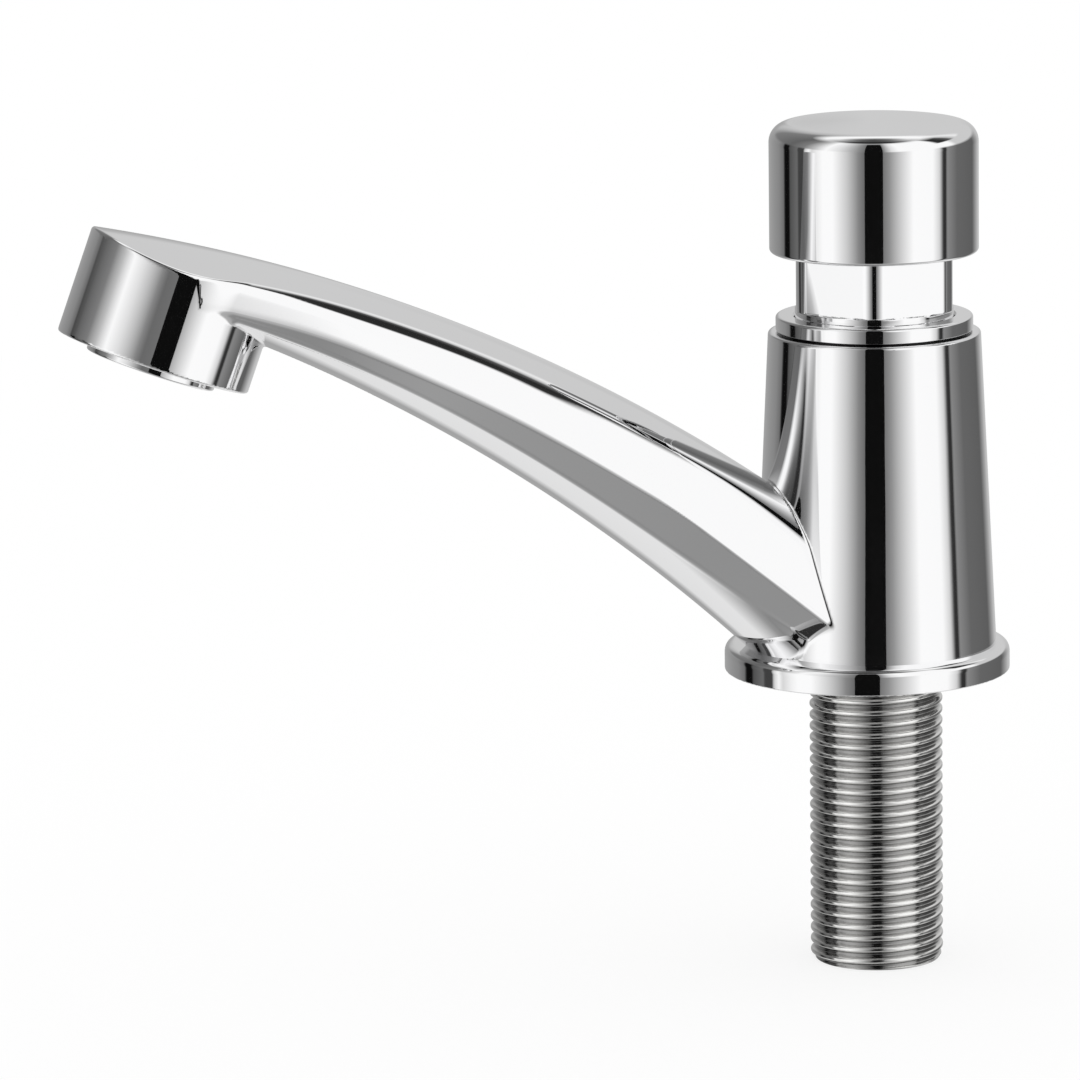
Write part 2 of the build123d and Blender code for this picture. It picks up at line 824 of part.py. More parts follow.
def aerator_housing():
    """Aerator's screwed ring, with a lip under its mesh."""
    return outlet_plane * turned(
        (aerator_bore_radius - aerator_lip, -aerator_stand_out),
        (aerator_face_radius, -aerator_stand_out),
        (aerator_face_radius, aerator_thread_start),
        (aerator_radius, aerator_thread_start),
        (aerator_radius, aerator_height),
        (aerator_bore_radius, aerator_height),
        (aerator_bore_radius, aerator_lip - aerator_stand_out),
        (aerator_bore_radius - aerator_lip, aerator_lip - aerator_stand_out),
    )


def aerator_mesh():
    """Mesh disc on the aerator's lip."""
    low = aerator_lip - aerator_stand_out
    high = low + mesh_thickness
    plate = disc(aerator_bore_radius - thread_gap, low, high)
    centres = hex_grid(mesh_hole_pitch, mesh_rows)
    return outlet_plane * drilled(plate, centres, mesh_hole_radius, low, high)


def aerator_insert():
    """Plastic honeycomb that straightens the stream."""
    low = aerator_lip - aerator_stand_out + mesh_thickness
    high = low + insert_height
    plate = disc(aerator_bore_radius - thread_gap, low, high)
    centres = hex_grid(insert_hole_pitch, insert_rows)
    return outlet_plane * drilled(plate, centres, insert_hole_radius, low, high)


def aerator_diffuser():
    """Plate with a ring of jets over the honeycomb."""
    low = aerator_lip - aerator_stand_out + mesh_thickness + insert_height
    plate = disc(aerator_bore_radius - thread_gap, low, aerator_height)
    turns = [2 * math.pi * hole / diffuser_hole_count for hole in range(diffuser_hole_count)]
    centres = [(diffuser_ring_radius * math.cos(t), diffuser_ring_radius * math.sin(t)) for t in turns]
    return outlet_plane * drilled(plate, centres, diffuser_hole_radius, low, aerator_height)


def aerator_washer():
    """Rubber washer over the aerator, against the socket's end."""
    return outlet_plane * tube(outlet_chamber_radius, aerator_radius, aerator_height, socket_depth)


pieces = {
    "tap_body": tap_body(),
    "base_flange": base_flange(),
    "base_gasket": base_gasket(),
    "inlet_shank": inlet_shank(),
    "inlet_washer": inlet_washer(),
    "inlet_strainer": inlet_strainer(),
    "cartridge_housing": cartridge_housing(),
    "cartridge_seal_lower": cartridge_seal(0),
    "cartridge_seal_upper": cartridge_seal(1),
    "valve_seat": valve_seat(),
    "gland_bush": gland_bush(),
    "stem_seal": stem_seal(),
    "spring_seat": spring_seat(),
    "return_spring": return_spring(),
    "cylinder_cover": cylinder_cover(),
    "cover_seal": cover_seal(),
    "timing_screw": timing_screw(),
    "bonnet_ring": bonnet_ring(),
    "bonnet_seal": bonnet_seal(),
    "neck_bush": neck_bush(),
    "push_cap": push_cap(),
    "cap_lock_nut": hex_nut(lock_nut_radius, boss_foot - lock_nut_height, boss_foot),
    "plunger_stem": plunger_stem(),
    "piston": piston(),
    "piston_seal": piston_seal(),
    "piston_clip": piston_clip(),
    "valve_washer": valve_washer(),
    "washer_holder": washer_holder(),
    "valve_nut": hex_nut(valve_nut_radius, valve_nut_foot, holder_foot),
    "aerator_housing": aerator_housing(),
    "aerator_mesh": aerator_mesh(),
    "aerator_insert": aerator_insert(),
    "aerator_diffuser": aerator_diffuser(),
    "aerator_washer": aerator_washer(),
}

os.makedirs("parts", exist_ok=True)
for name, piece in pieces.items():
    export_step(piece, f"parts/{name}.step")
print(f"least gap between the spring's turns {spring_least_gap():.2f} mm")
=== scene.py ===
import json
import math
import bmesh
import bpy
import numpy as np
from mathutils import Euler, Matrix, Vector


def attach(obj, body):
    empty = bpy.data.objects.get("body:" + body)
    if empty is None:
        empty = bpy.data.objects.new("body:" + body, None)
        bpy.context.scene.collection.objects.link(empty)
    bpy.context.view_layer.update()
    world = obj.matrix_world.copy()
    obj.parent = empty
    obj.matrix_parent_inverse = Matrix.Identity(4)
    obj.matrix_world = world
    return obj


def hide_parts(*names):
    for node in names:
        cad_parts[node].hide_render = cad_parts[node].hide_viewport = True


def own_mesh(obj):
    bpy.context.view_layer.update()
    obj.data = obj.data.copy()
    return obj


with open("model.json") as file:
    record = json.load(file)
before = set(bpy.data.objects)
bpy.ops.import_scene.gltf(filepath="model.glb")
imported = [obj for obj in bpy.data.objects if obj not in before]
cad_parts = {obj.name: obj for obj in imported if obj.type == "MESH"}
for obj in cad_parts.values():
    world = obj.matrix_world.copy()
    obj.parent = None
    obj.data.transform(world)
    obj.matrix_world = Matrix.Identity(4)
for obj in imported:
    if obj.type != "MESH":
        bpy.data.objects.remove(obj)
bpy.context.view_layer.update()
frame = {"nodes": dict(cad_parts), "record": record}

MM = 0.001

# Sizes in millimetres, as in the frame. The spout runs along -Y
body_foot = 4.0
body_overlap = 0.3
body_foot_radius = 18.95
body_shoulder_radius = 16.6
body_top = 53.5
rim_radius = 0.5
seam_radius = 0.45
crease_radius = 0.5
spout_reach = 116.0
outlet_height = 56.0
outlet_tilt = math.radians(20.5)
head_radius = 15.1
head_height = 19.1
head_rim_radius = 0.4
head_blend_radius = 0.6
spout_root = (18.0, 30.8)
spout_toe = (20.7, 4.0)
spout_top_radius = 285.0
spout_underside_radius = 294.0
spout_tip_depth = 10.3
crown_radius = 34.0
crown_end_share = 1.28  # of the arm's length, past the head's far side
root_half_width = 16.4
end_half_width = 15.0
arm_length = 0.965 * spout_reach
arm_stations = 7

# The arm's section at equal steps, as shares of the crown's radius, of the half width and of the height
crown_radius_shares = (0.30, 0.37, 0.45, 0.59, 0.82, 0.98, 1.12, 1.07, 1.0, 1.0)
crown_width_shares = (0.61, 0.71, 0.79, 0.90, 0.97, 1.01, 1.03, 1.04, 1.04, 1.04)
edge_lean_shares = (0.30, 0.36, 0.47, 0.64, 0.78, 0.80, 0.77, 0.38)  # sideways for each step up
upper_width_shares = (0.598, 0.648, 0.722, 0.816, 0.895, 0.938, 0.967, 0.990)
lower_width_shares = (0.640, 0.682, 0.724, 0.767, 0.811, 0.856, 0.903, 0.950)
upper_crease_shares = (0.825, 0.803, 0.776, 0.751, 0.743, 0.710, 0.692, 0.675)
wide_crease_shares = (0.637, 0.558, 0.480, 0.445, 0.440, 0.425, 0.425, 0.300)
lower_crease_shares = (0.370, 0.272, 0.200, 0.185, 0.200, 0.220, 0.228, 0.214)

# Hollows of the body, as (radius, low, high), and of the outlet with heights up from its face
body_hollows = (
    (10.08, 2.0, 12.0),
    (8.0, 11.0, 15.0),
    (13.0, 14.0, 32.0),
    (14.4, 17.2, 27.8),
    (14.2, 31.0, 60.0),
)
outlet_hollows = ((11.0, -2.0, 8.6), (7.5, 7.0, 13.5))
socket_chamfer = 0.5
waterway_radius = 3.5
waterway_start = (11.6, 22.5)  # reach and level

# Roundings of edges that look sharp
sharp_radius = 0.04
fine_radius = 0.1
small_radius = 0.15

# Other pieces
flange_radius = 22.4
flange_offset = 1.45
flange_edge_radius = 1.5
flange_bore_radius = 10.2
gasket_groove = (13.72, 18.48, 1.6)  # inner radius, outer radius and depth
neck_radius = 12.39
neck_flat_radius = 12.14
neck_corner_radius = 3.55
neck_bore_radius = 10.92
neck_flat_heading = math.radians(10.0)
neck_levels = (43.5, 57.2, 67.53)  # foot, shoulder and top
neck_edge_radius = 0.5
neck_shoulder_radius = 0.3
neck_corner_fill = 0.25
neck_bore_edge_radius = 0.2
thread_radius = 10.4775
thread_pitch = 1.814
thread_depth = 0.75
thread_runout = 0.4
thread_row = 0.1
thread_row_margin = 0.02
touch = 0.001
shank_foot = -47.0
shank_top = 11.0
shank_end_radius = 9.88
shank_end_inset = 0.2
shank_end_rounding = 0.05
shank_chamfer_height = 1.1
shank_chamfer_slope = 0.62
shank_bore_radius = 7.0
spigot_radius = 10.0
strainer_radius = 8.18
strainer_level = -45.8
ring_bore_radius = 12.47
ring_thread_radius = 14.12
ring_foot = 34.0
ring_groove = (13.14, 45.97, 47.03)  # radius, low and high
ring_line_radius = 14.9
ring_line_top = 53.8
ring_lip_radius = 15.4
ring_top = 56.1
ring_edge_radius = 0.5
ring_chamfer = 0.3
cap_radius = 16.3
cap_foot = 66.03
cap_top = 86.23
cap_edge_radius = 3.0
cap_crown = 0.4
cap_crown_rows = 24
cap_inner_radius = 14.2
cap_roof = 82.63
cap_boss_radius = 5.5
cap_boss_foot = 69.43
cap_hole_radius = 2.58
cap_hole_top = 79.93
cap_inner_rounding = 0.4
cap_rim_rounding = 0.6
cap_rim_inner_rounding = 0.3
aerator_mouth_radius = 8.22
aerator_bore_radius = 9.02
aerator_lip_radius = 10.1
aerator_thread_radius = 10.92
aerator_foot = -1.3
aerator_ledge = -0.5
aerator_lip_top = 0.4
aerator_top = 7.0
aerator_lip_rounding = 0.3
spring_foot = 32.3
piston_foot = 46.5
spring_radius = 6.0
spring_wire_radius = 0.6
spring_turns = 3.5
spring_turn_steps = 48
spring_sides = 16

# Boxes that the meshed pieces lie in, and the widths of their cells
body_box = ((-19.6, -130.6, 3.1), (19.6, 19.6, 77.4))
body_cell = 0.31
flange_box = ((-23, -24.5, -0.5), (23, 21.6, 4.6))
flange_cell = 0.28
neck_box = ((-14, -14, 43), (14, 14, 68.1))
neck_cell = 0.2

# Fineness of the meshes
slab_rows = 24
snap_passes = 3
least_slope = 0.5
gradient_step = 0.02
rounding_turn = math.radians(7)
rounding_steps = 3
weld_digits = 4


# Signed distances: negative inside, and nearly true close to a surface

def soft_max(first, second, radius):
    """The larger of two distances, with the edge between them rounded."""
    near = np.maximum(radius - np.abs(first - second), 0)
    return np.maximum(first, second) + near * near / (4 * radius)


def soft_min(first, second, radius):
    """The smaller of two distances, with the corner between them filled."""
    return -soft_max(-first, -second, radius)


def spline(values):
    """Natural cubic through values at 0, 1, 2 and so on."""
    values = np.array(values)
    count = len(values)
    system = np.eye(count)
    bend = np.zeros(count)
    for place in range(1, count - 1):
        system[place, place - 1 : place + 2] = (1, 4, 1)
        bend[place] = 6 * (values[place - 1] - 2 * values[place] + values[place + 1])
    second = np.linalg.solve(system, bend)

    def at(place):
        place = np.clip(place, 0, count - 1)
        step = np.minimum(np.floor(place).astype(int), count - 2)
        t = place - step
        u = 1 - t
        curve = (u**3 - u) * second[step] + (t**3 - t) * second[step + 1]
        return u * values[step] + t * values[step + 1] + curve / 6

    return at


def arc_centre(near, far, radius):
    """Centre, under the chord, of the arc of a radius through two (reach, level) points."""
    run, rise = far[0] - near[0], far[1] - near[1]
    chord = math.hypot(run, rise)
    depth = math.sqrt(radius**2 - (chord / 2) ** 2)
    return (near[0] + far[0]) / 2 + depth * rise / chord, (near[1] + far[1]) / 2 - depth * run / chord


spout_tip = outlet_height + head_height
top_centre = arc_centre(spout_root, (spout_reach, spout_tip), spout_top_radius)
underside_tip = (spout_reach, spout_tip - spout_tip_depth)
underside_centre = arc_centre(spout_toe, underside_tip, spout_underside_radius)
crown_radius_at = spline(crown_radius_shares)
crown_width_at = spline(crown_width_shares)
edge_lean_at = spline(edge_lean_shares)
upper_width_at = spline(upper_width_shares)
lower_width_at = spline(lower_width_shares)
upper_crease_at = spline(upper_crease_shares)
wide_crease_at = spline(wide_crease_shares)
lower_crease_at = spline(lower_crease_shares)


def arc_level(centre, radius, reach):
    """Level of the upper side of an arc at a reach."""
    return centre[1] + np.sqrt(radius**2 - (reach - centre[0]) ** 2)


def facet(side, level, lower, upper):
    """Distance outside the line that rises from a lower to an upper (sideways, level) point."""
    run, rise = upper[0] - lower[0], upper[1] - lower[1]
    length = np.sqrt(run**2 + rise**2)
    return ((side - lower[0]) * rise - (level - lower[1]) * run) / length


def underside(side, level, lower, wide, bottom):
    """Distance below the keel's arc and the facet that goes on from it to the widest crease."""
    rise = lower[1] - bottom
    keel = (lower[0] ** 2 + rise**2) / (2 * rise)
    inner = np.minimum(side, lower[0])
    drop = np.sqrt(keel**2 - inner**2)
    keel_slope = inner / drop
    keel_level = bottom + keel - drop + keel_slope * (side - inner)
    facet_slope = (wide[1] - lower[1]) / (wide[0] - lower[0])
    facet_level = lower[1] + facet_slope * (side - lower[0])
    share = np.clip((side - lower[0]) / (2 * crease_radius) + 0.5, 0, 1)
    share = share * share * (3 - 2 * share)
    slope = keel_slope + share * (facet_slope - keel_slope)
    return (keel_level + share * (facet_level - keel_level) - level) / np.sqrt(1 + slope**2)


def spout(x, y, z):
    """Arm and head together, under one crowned top."""
    side, reach = np.abs(x), -y
    place = arm_stations * np.clip(reach / arm_length, 0, crown_end_share)
    top = arc_level(top_centre, spout_top_radius, reach)
    bottom = arc_level(underside_centre, spout_underside_radius, reach)
    width = root_half_width + np.clip(place / arm_stations, 0, 1) * (end_half_width - root_half_width)
    upper = upper_width_at(place) * width, bottom + upper_crease_at(place) * (top - bottom)
    wide = width, bottom + wide_crease_at(place) * (top - bottom)
    lower = lower_width_at(place) * width, bottom + lower_crease_at(place) * (top - bottom)
    beyond = upper[0] - edge_lean_at(place), upper[1] + 1
    arm = soft_max(facet(side, z, wide, upper), underside(side, z, lower, wide, bottom), crease_radius)
    arm = soft_max(arm, facet(side, z, upper, beyond), crease_radius)
    arm = np.maximum(arm, np.maximum(-reach, reach - arm_length))
    head = soft_max(np.hypot(x, outlet_across(y, z)) - head_radius, -outlet_up(y, z), head_rim_radius)
    both = soft_min(arm, head, head_blend_radius)
    radius = crown_radius_at(place) * crown_radius
    crest = np.minimum(side, crown_width_at(place) * width)
    crown = np.hypot(crest, np.maximum(z - top + radius, 0)) - radius
    return soft_max(both, crown, crease_radius)


def outlet_across(y, z):
    """Distance from the outlet's axis within the middle plane."""
    return (y + spout_reach) * math.cos(outlet_tilt) - (z - outlet_height) * math.sin(outlet_tilt)


def outlet_up(y, z):
    """Height above the outlet's face, along its axis."""
    return (y + spout_reach) * math.sin(outlet_tilt) + (z - outlet_height) * math.cos(outlet_tilt)


def cone(x, y, z):
    """Body between the flange and the ring."""
    slope = (body_shoulder_radius - body_foot_radius) / (body_top - body_foot)
    wall = np.hypot(x, y) - body_foot_radius - slope * (z - body_foot)
    return soft_max(wall / math.hypot(1, slope), z - body_top, rim_radius)


def hollows(x, y, z):
    """Bores for the shank, the cartridge and the aerator, and the waterway between them."""
    radius = np.hypot(x, y)
    found = np.inf
    for bore, low, high in body_hollows:
        found = np.minimum(found, np.maximum(radius - bore, np.maximum(low - z, z - high)))
    across, up = np.hypot(x, outlet_across(y, z)), outlet_up(y, z)
    for bore, low, high in outlet_hollows:
        flare = np.clip(socket_chamfer - up, 0, socket_chamfer + 1)
        found = np.minimum(found, np.maximum(across - bore - flare, np.maximum(low - up, up - high)))
    rise = outlet_hollows[1][2] - waterway_radius
    end = spout_reach - rise * math.sin(outlet_tilt), outlet_height + rise * math.cos(outlet_tilt)
    half = spout_reach / 2
    top = arc_level(top_centre, spout_top_radius, half)
    bottom = arc_level(underside_centre, spout_underside_radius, half)
    sag = (top + bottom) / 2 - (waterway_start[1] + end[1]) / 2
    chord = math.hypot(end[0] - waterway_start[0], end[1] - waterway_start[1])
    bend = (chord**2 / 4 + sag**2) / (2 * sag)
    centre = arc_centre(waterway_start, end, bend)
    way = np.hypot(x, np.hypot(-y - centre[0], z - centre[1]) - bend) - waterway_radius
    way = np.maximum(way, np.maximum(waterway_start[0] + y, -y - end[0]))
    return np.minimum(found, way)


def cast_body(x, y, z):
    """The tap's body with its spout and head, cast in one."""
    joined = soft_min(cone(x, y, z), spout(x, y, z), seam_radius)
    solid = np.maximum(joined, body_foot - body_overlap - z)
    return np.maximum(solid, -hollows(x, y, z))


def gradient(field, points):
    """Slope of a distance at each point."""
    slopes = []
    for axis in range(3):
        shift = np.zeros(3)
        shift[axis] = gradient_step
        slopes.append((field(*(points + shift).T) - field(*(points - shift).T)) / (2 * gradient_step))
    return np.array(slopes).T


def surface(field, low, high, step):
    """Quads over the place where a distance is zero, by surface nets, with a normal for each point."""
    low, high = np.array(low, float), np.array(high, float)
    counts = np.ceil((high - low) / step).astype(int) + 1
    x, y, z = (low[axis] + step * np.arange(counts[axis]) for axis in range(3))
    slabs = np.array_split(np.arange(counts[1]), max(1, counts[1] // slab_rows))
    value = np.empty(counts)
    for slab in slabs:
        value[:, slab] = field(x[:, None, None], y[None, slab, None], z[None, None, :])
    inside = value < 0

    def corner(array, shift):
        """Values at the same corner of every cell."""
        cut = tuple(slice(s, s + n - 1) for s, n in zip(shift, counts))
        return array[cut]

    # one point in each cell that the surface passes through
    shifts = [(a, b, c) for a in (0, 1) for b in (0, 1) for c in (0, 1)]
    total = sum(corner(inside, shift).astype(np.int8) for shift in shifts)
    cells = np.argwhere((total > 0) & (total < 8))
    number = np.full(counts - 1, -1)
    number[tuple(cells.T)] = np.arange(len(cells))
    place = np.zeros((len(cells), 3))
    crossings = np.zeros(len(cells))
    for start in shifts:
        for axis in range(3):
            if start[axis]:
                continue
            end = list(start)
            end[axis] = 1
            first = value[tuple((cells + start).T)]
            last = value[tuple((cells + end).T)]
            crossed = (first < 0) != (last < 0)
            share = np.where(crossed, first / np.where(crossed, first - last, 1), 0)
            point = np.repeat([start], len(cells), 0).astype(float)
            point[:, axis] += share
            place += point * crossed[:, None]
            crossings += crossed
    points = low + step * (cells + place / crossings[:, None])
    # moved on to the surface, along its slope
    for _ in range(snap_passes):
        slope = gradient(field, points)
        size = np.maximum((slope**2).sum(1), least_slope**2)
        move = -slope * (field(*points.T) / size)[:, None]
        points += np.clip(move, -step / 2, step / 2)
    normals = gradient(field, points)
    normals /= np.maximum(np.linalg.norm(normals, axis=1), 0.000001)[:, None]

    # a quad round each grid edge that crosses the surface
    faces = []
    for axis in range(3):
        after = np.roll(np.eye(3, dtype=int), 1, 0)[:, axis]
        one, two = (axis + 1) % 3, (axis + 2) % 3
        inner = [slice(1, n - 1) for n in counts]
        inner[axis] = slice(0, counts[axis] - 1)
        ahead = list(inner)
        ahead[axis] = slice(1, counts[axis])
        here, there = inside[tuple(inner)], inside[tuple(ahead)]
        edges = np.argwhere(here != there)
        leaving = here[tuple(edges.T)]
        offset = np.array([1, 1, 1])
        offset[axis] = 0
        edges = edges + offset
        ring = []
        for back_one, back_two in ((0, 0), (1, 0), (1, 1), (0, 1)):
            cell = edges.copy()
            cell[:, one] -= back_one
            cell[:, two] -= back_two
            ring.append(number[tuple(cell.T)])
        ring = np.array(ring).T
        ring[~leaving] = ring[~leaving][:, ::-1]
        faces.append(ring)
    return points, np.concatenate(faces), normals


def piece(name, points, faces, material, nodes, normals=None, body="tap"):
    """A mesh piece that rides on a body and stands for CAD nodes. Points are in millimetres."""
    data = bpy.data.meshes.new(name)
    data.from_pydata((points * MM).tolist(), [], faces if isinstance(faces, list) else faces.tolist())
    data.polygons.foreach_set("use_smooth", [True] * len(data.polygons))
    data.update()
    if normals is not None:
        data.normals_split_custom_set_from_vertices(np.asarray(normals).tolist())
    data.materials.append(material)
    made = bpy.data.objects.new(name, data)
    bpy.context.scene.collection.objects.link(made)
    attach(made, body)
    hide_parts(*nodes)
    return made


def blob(name, field, low, high, step, material, nodes, slot, body="tap"):
    """A piece whose surface is where a distance is zero."""
    points, faces, normals = surface(field, low, high, step)
    return piece(name, points, faces, material, nodes, normals, body)


def rounded(outline):
    """Fine closed outline, with a normal for each point, from (radius, level, rounding) corners.

    The outline runs anticlockwise. A rounding of 0 is a point on a smooth curve.
    """
    points, normals = [], []
    for place, corner in enumerate(outline):
        here = np.array(corner[:2], float)
        before = np.array(outline[place - 1][:2], float) - here
        after = np.array(outline[(place + 1) % len(outline)][:2], float) - here
        before /= np.linalg.norm(before)
        after /= np.linalg.norm(after)
        enter = np.array([-before[1], before[0]])
        leave = np.array([after[1], -after[0]])
        rounding = corner[2] if len(corner) > 2 else sharp_radius
        if here[0] == 0:
            points.append(here)
            normals.append(leave if outline[place - 1][0] == 0 else enter)
            continue
        if rounding == 0:
            points.append(here)
            normals.append((enter + leave) / np.linalg.norm(enter + leave))
            continue
        turn = math.acos(np.clip(enter @ leave, -1, 1))
        convex = np.sign(enter[0] * leave[1] - enter[1] * leave[0])
        centre = here + before * rounding * math.tan(turn / 2) - convex * enter * rounding
        steps = max(rounding_steps, round(turn / rounding_turn))
        for step in range(steps + 1):
            angle = convex * turn * step / steps
            spin = np.array([[math.cos(angle), -math.sin(angle)], [math.sin(angle), math.cos(angle)]])
            normals.append(spin @ enter)
            points.append(centre + convex * rounding * normals[-1])
    return np.array(points), np.array(normals)


def spun(name, outline, material, nodes, body="tap", steps=288, place=None, cut=None):
    """A turned piece from an outline. A cut gives the radius at each angle, where that isn't round."""
    points, normals = rounded(outline)
    angles = 2 * np.pi * np.arange(steps) / steps
    radius, level = (np.repeat(column[:, None], steps, 1) for column in points.T)
    slope_out, slope_up = (np.repeat(column[:, None], steps, 1) for column in normals.T)
    slope_around = 0 * slope_out
    if cut is not None:
        radius, slope_out, slope_around, slope_up = cut(radius, level, angles, slope_out, slope_up)
    c, s = np.cos(angles), np.sin(angles)
    grid = np.stack([radius * c, radius * s, level], 2).reshape(-1, 3)
    slope_x, slope_y = slope_out * c - slope_around * s, slope_out * s + slope_around * c
    grid_normals = np.stack([slope_x, slope_y, slope_up], 2)
    row, column = np.meshgrid(np.arange(len(points)), np.arange(steps), indexing="ij")
    next_row, next_column = (row + 1) % len(points), (column + 1) % steps
    corners = (row, column), (row, next_column), (next_row, next_column), (next_row, column)
    faces = np.stack([(a * steps + b).ravel() for a, b in corners], 1)
    welded = np.round(grid, weld_digits)
    _, first, where = np.unique(welded, axis=0, return_index=True, return_inverse=True)
    faces = [list(dict.fromkeys(face)) for face in where.ravel()[faces].tolist()]
    faces = [face for face in faces if len(face) > 2]
    normals = grid_normals.reshape(-1, 3)[first]
    made = piece(name, grid[first], faces, material, nodes, normals, body)
    if place is not None:
        made.data.transform(place)
    return made


# Materials

peel_share = 0.015  # of the casting's wave
dark_share = 0.88  # of the colour, where a grain is darkest


def new_material(name):
    """A material, its node tree and its Principled shader."""
    material = bpy.data.materials.new(name)
    material.use_nodes = True
    tree = material.node_tree
    shader = tree.nodes["Principled BSDF"]
    return material, tree, shader


def add(tree, kind, **settings):
    """A node of a kind, with its inputs and settings given by name."""
    node = tree.nodes.new(kind)
    for key, value in settings.items():
        if key in node.inputs:
            node.inputs[key].default_value = value
        else:
            setattr(node, key, value)
    return node


def noise(tree, scale, detail=2.0, roughness=0.5, stretch=(1, 1, 1)):
    """Noise in object space, with a scale in cycles per metre."""
    place = add(tree, "ShaderNodeTexCoord")
    mapping = add(tree, "ShaderNodeMapping")
    mapping.inputs["Scale"].default_value = [scale * s for s in stretch]
    texture = add(tree, "ShaderNodeTexNoise", Scale=1.0, Detail=detail, Roughness=roughness)
    tree.links.new(place.outputs["Object"], mapping.inputs["Vector"])
    tree.links.new(mapping.outputs["Vector"], texture.inputs["Vector"])
    return texture.outputs["Fac"]


def ramp(tree, value, stops):
    """Grey level for a value, from (value, level) stops."""
    node = add(tree, "ShaderNodeValToRGB")
    elements = node.color_ramp.elements
    elements[0].position, elements[0].color = stops[0][0], [stops[0][1]] * 3 + [1]
    elements[1].position, elements[1].color = stops[-1][0], [stops[-1][1]] * 3 + [1]
    for position, level in stops[1:-1]:
        elements.new(position).color = [level] * 3 + [1]
    tree.links.new(value, node.inputs["Fac"])
    return node.outputs["Color"]


def bump(tree, height, distance, normal=None):
    """Normal of a surface raised by a height, on top of another normal where one is given."""
    node = add(tree, "ShaderNodeBump", Strength=1.0, Distance=distance)
    tree.links.new(height, node.inputs["Height"])
    if normal:
        tree.links.new(normal, node.inputs["Normal"])
    return node.outputs["Normal"]


def chrome(name, waviness):
    """Polished chrome plate: a mirror with a faint wave, fine wipe marks and water haze."""
    material, tree, shader = new_material(name)
    shader.inputs["Base Color"].default_value = (0.98, 0.98, 0.985, 1)
    shader.inputs["Metallic"].default_value = 1.0
    marks = noise(tree, scale=90, detail=4, roughness=0.6)
    haze = ramp(tree, marks, [(0.0, 0.025), (0.55, 0.03), (0.75, 0.055), (1.0, 0.08)])
    tree.links.new(haze, shader.inputs["Roughness"])
    wave = bump(tree, noise(tree, scale=45, detail=1.0), waviness)
    peel = bump(tree, noise(tree, scale=700, detail=2.0), peel_share * waviness, normal=wave)
    tree.links.new(peel, shader.inputs["Normal"])
    return material


def brushed(name, colour, roughness, grain, stretch=(1, 1, 1), metallic=1.0):
    """Turned or moulded material with a grain and a roughness that varies."""
    material, tree, shader = new_material(name)
    low = [c * dark_share for c in colour]
    tint = add(tree, "ShaderNodeMix", data_type="RGBA")
    tint.inputs["A"].default_value = (*low, 1)
    tint.inputs["B"].default_value = (*colour, 1)
    tree.links.new(noise(tree, scale=260, detail=4, roughness=0.6), tint.inputs["Factor"])
    tree.links.new(tint.outputs["Result"], shader.inputs["Base Color"])
    shader.inputs["Metallic"].default_value = metallic
    grit = noise(tree, scale=900, detail=3, roughness=0.6, stretch=stretch)
    rough = ramp(tree, grit, [(0.25, roughness * 0.75), (0.75, roughness * 1.25)])
    tree.links.new(rough, shader.inputs["Roughness"])
    fine = bump(tree, noise(tree, scale=1600, detail=3, roughness=0.6, stretch=stretch), grain)
    tree.links.new(fine, shader.inputs["Normal"])
    return material


def paint_shade_inward(material, root, crest, level, top=None):
    """Painted shade: darker colour towards a root, between two radii from the axis and below a top."""
    tree = material.node_tree
    shader = tree.nodes["Principled BSDF"]
    place = add(tree, "ShaderNodeTexCoord")
    split = add(tree, "ShaderNodeSeparateXYZ")
    tree.links.new(place.outputs["Object"], split.inputs["Vector"])
    across = add(tree, "ShaderNodeCombineXYZ")
    tree.links.new(split.outputs["X"], across.inputs["X"])
    tree.links.new(split.outputs["Y"], across.inputs["Y"])
    radius = add(tree, "ShaderNodeVectorMath", operation="LENGTH")
    tree.links.new(across.outputs["Vector"], radius.inputs[0])
    share = add(tree, "ShaderNodeMapRange")
    share.inputs["From Min"].default_value = root * MM
    share.inputs["From Max"].default_value = crest * MM
    share.inputs["To Min"].default_value = level
    share.inputs["To Max"].default_value = 1.0
    tree.links.new(radius.outputs["Value"], share.inputs["Value"])
    result = share.outputs["Result"]
    if top is not None:
        above = add(tree, "ShaderNodeMath", operation="GREATER_THAN")
        above.inputs[1].default_value = top * MM
        tree.links.new(split.outputs["Z"], above.inputs[0])
        most = add(tree, "ShaderNodeMath", operation="MAXIMUM")
        tree.links.new(result, most.inputs[0])
        tree.links.new(above.outputs["Value"], most.inputs[1])
        result = most.outputs["Value"]
    tint = add(tree, "ShaderNodeMix", data_type="RGBA", blend_type="MULTIPLY")
    tint.inputs["Factor"].default_value = 1.0
    colour = shader.inputs["Base Color"]
    tint.inputs["A"].default_value = colour.default_value
    if colour.links:
        tree.links.new(colour.links[0].from_socket, tint.inputs["A"])
    tree.links.new(result, tint.inputs["B"])
    tree.links.new(tint.outputs["Result"], shader.inputs["Base Color"])


cast_chrome = chrome("cast_chrome", waviness=0.00006)
turned_chrome = chrome("turned_chrome", waviness=0.00001)
# a copy of the turned chrome, which carries the ring's painted shade
ring_chrome_painted_shade = chrome("ring_chrome_painted_shade", waviness=0.00001)
nickel = brushed("nickel_brass", (1.0, 0.995, 0.98), roughness=0.12, grain=0.000006, stretch=(1, 1, 6))
brass = brushed("brass", (0.80, 0.60, 0.27), roughness=0.28, grain=0.00001, stretch=(1, 1, 8))
stainless = brushed("stainless", (0.66, 0.66, 0.67), roughness=0.3, grain=0.00001, stretch=(1, 1, 8))
rubber = brushed("rubber", (0.035, 0.035, 0.037), roughness=0.6, grain=0.00003, metallic=0.0)
plastic = brushed("white_plastic", (0.82, 0.82, 0.80), roughness=0.38, grain=0.00001, metallic=0.0)
